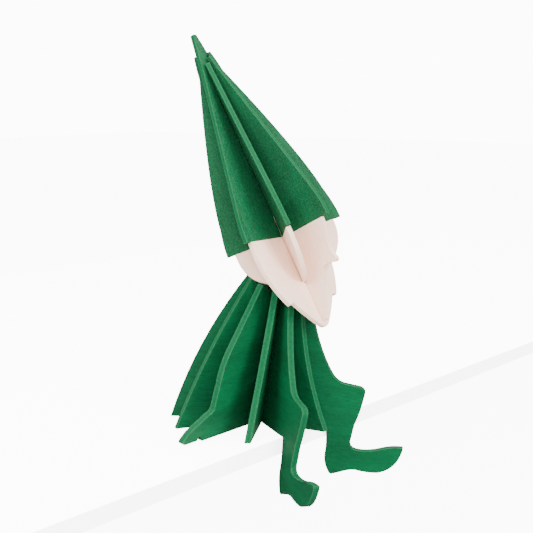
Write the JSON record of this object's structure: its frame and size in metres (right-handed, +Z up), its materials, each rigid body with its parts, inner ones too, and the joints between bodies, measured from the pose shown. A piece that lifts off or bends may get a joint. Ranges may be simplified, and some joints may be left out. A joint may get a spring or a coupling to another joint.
{
  "type": "tomte gnome figurine",
  "caption": "Shelf-sitting tomte gnome of flat plywood plates that cross in slots, with a green body and pointed hat and a bare birch head and beard",
  "frame": {"origin": "the point where the body's axis meets the seat plane, on the underside of the lowest body plate", "axes": "+X the gnome's left, -Y its front, +Z up"},
  "size_m": [0.0772, 0.0711, 0.1424],
  "materials": {
    "stain": "birch plywood stained green",
    "birch": "bare birch plywood"
  },
  "bodies": {
    "body": {"body_middle_plate": "stain", "body_right_leg_plate": "stain", "body_left_leg_plate": "stain", "body_arms_plate": "stain", "body_right_plain_plate": "stain", "body_left_plain_plate": "stain"},
    "head": {"head_face_plate": "birch", "head_beard_plate": "birch", "head_right_cheek_plate": "birch", "head_left_cheek_plate": "birch"},
    "hat": {"hat_middle_plate": "stain", "hat_cross_plate": "stain", "hat_right_plate": "stain", "hat_left_plate": "stain"}
  },
  "joints": [
    {"name": "head_lift", "type": "slide", "parent": "body", "child": "head", "axis": [0, 0.512, 0.859], "range_m": [0, 0.014]},
    {"name": "hat_lift", "type": "slide", "parent": "head", "child": "hat", "axis": [0, 0.512, 0.859], "range_m": [0, 0.01]}
  ]
}
